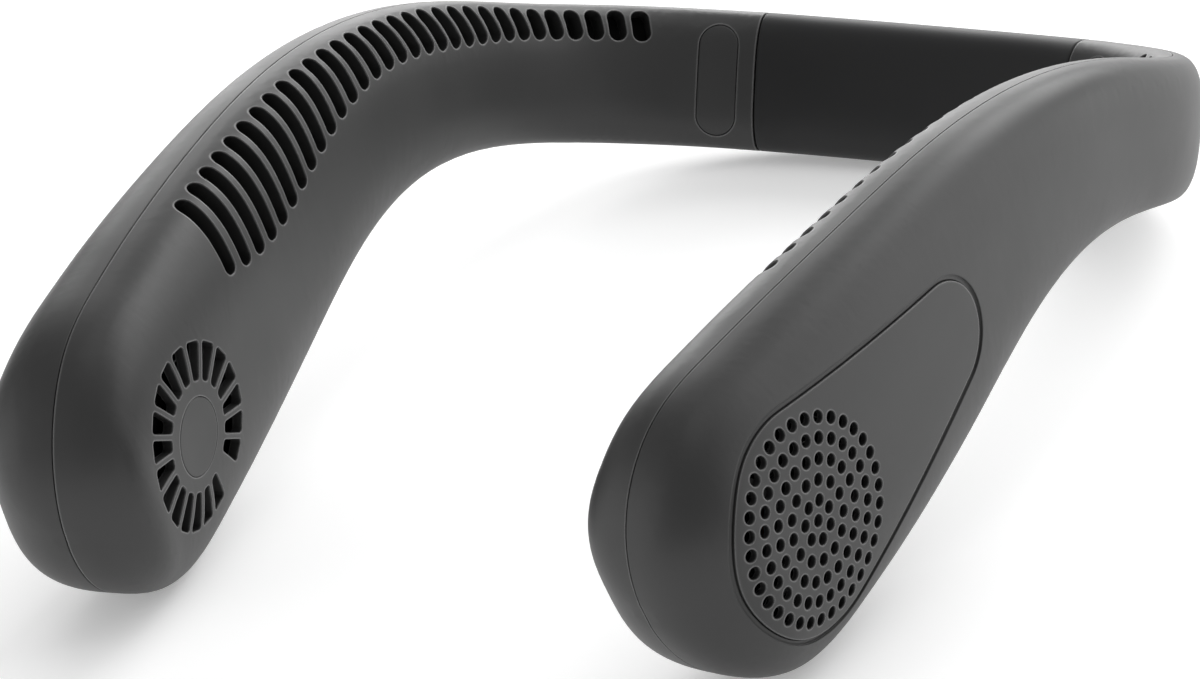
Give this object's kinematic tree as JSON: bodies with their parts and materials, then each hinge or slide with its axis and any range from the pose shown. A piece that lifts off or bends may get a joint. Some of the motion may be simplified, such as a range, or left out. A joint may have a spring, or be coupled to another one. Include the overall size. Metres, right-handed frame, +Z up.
{
  "type": "electric neck fan",
  "caption": "Bladeless neck fan: two slotted arms on a flexible neck band, each ending in a bulb with a hidden blower, an inner grille and a perforated outer cover.",
  "frame": {"origin": "on the table, under the middle of the fan's bounding box", "axes": "+X to the wearer's right arm, +Y towards the neck band, +Z up, the fan lying on its band and the tips of its arms"},
  "size_m": [0.1818, 0.2268, 0.07],
  "materials": {
    "shell_plastic": "satin charcoal moulding",
    "cover_plastic": "satin charcoal moulding",
    "band_silicone": "matt silicone",
    "spring_steel": "rolled spring steel",
    "lead_jacket": "matt jacket",
    "frame_plastic": "black moulding",
    "screw_steel": "zinc plated",
    "wheel_plastic": "black moulding",
    "motor_steel": "turned and plated",
    "bush_bronze": "sintered bronze",
    "winding": "enamelled copper on a steel core",
    "cell_wrap": "silver film",
    "board_laminate": "green solder mask",
    "switch_plastic": "black moulding",
    "button_plastic": "satin charcoal moulding",
    "light_guide": "clear moulding",
    "port_steel": "nickel plated shell"
  },
  "bodies": {
    "neck_band": {"neck_sleeve": "band_silicone", "spring_strip": "spring_steel", "arm_lead": "lead_jacket"},
    "right_arm": {"right_anchor_screws": "screw_steel", "right_band_anchor": "frame_plastic", "right_battery_cell": "cell_wrap", "right_case_screws": "screw_steel", "right_duct_divider": "frame_plastic", "right_fan_scroll": "frame_plastic", "right_hub_cap": "cover_plastic", "right_inner_shell": "shell_plastic", "right_intake_cover": "cover_plastic", "right_motor_base": "frame_plastic", "right_motor_bush": "bush_bronze", "right_motor_stator": "winding", "right_outer_shell": "shell_plastic", "right_screw_cover": "cover_plastic"},
    "left_arm": {"left_anchor_screws": "screw_steel", "left_band_anchor": "frame_plastic", "left_battery_cell": "cell_wrap", "left_case_screws": "screw_steel", "left_duct_divider": "frame_plastic", "left_fan_scroll": "frame_plastic", "left_hub_cap": "cover_plastic", "left_inner_shell": "shell_plastic", "left_intake_cover": "cover_plastic", "left_motor_base": "frame_plastic", "left_motor_bush": "bush_bronze", "left_motor_stator": "winding", "left_outer_shell": "shell_plastic", "left_screw_cover": "cover_plastic", "control_board": "board_laminate", "board_screws": "screw_steel", "tact_switch": "switch_plastic", "status_lights": "light_guide", "usb_port": "port_steel"},
    "right_fan": {"right_impeller": "wheel_plastic", "right_rotor_cup": "motor_steel", "right_motor_shaft": "motor_steel"},
    "left_fan": {"left_impeller": "wheel_plastic", "left_rotor_cup": "motor_steel", "left_motor_shaft": "motor_steel"},
    "button": {"power_button": "button_plastic"}
  },
  "joints": [
    {"name": "right_arm_flex", "type": "hinge", "parent": "neck_band", "child": "right_arm", "pos_m": [0.01899, 0.10354, 0.01386], "axis": [0, 0.4326, 0.9016], "range_deg": [-8, 25], "stiffness_Nm_per_rad": 1.6, "deforming": ["neck_sleeve", "spring_strip", "arm_lead"]},
    {"name": "left_arm_flex", "type": "hinge", "parent": "neck_band", "child": "left_arm", "pos_m": [-0.01899, 0.10354, 0.01386], "axis": [0, -0.4326, -0.9016], "range_deg": [-8, 25], "stiffness_Nm_per_rad": 1.6, "deforming": ["neck_sleeve", "spring_strip", "arm_lead"]},
    {"name": "right_fan_spin", "type": "hinge", "parent": "right_arm", "child": "right_fan", "pos_m": [0.07094, -0.08227, 0.03118], "axis": [0.9877, -0.1507, 0.0417], "continuous": true},
    {"name": "left_fan_spin", "type": "hinge", "parent": "left_arm", "child": "left_fan", "pos_m": [-0.07094, -0.08227, 0.03118], "axis": [-0.9877, -0.1507, 0.0417], "continuous": true},
    {"name": "power_button_press", "type": "slide", "parent": "left_arm", "child": "button", "axis": [0.9995, 0.0182, 0.0271], "range_m": [0, 0.0006], "stiffness_N_per_m": 1500, "springref_m": -0.0003}
  ]
}
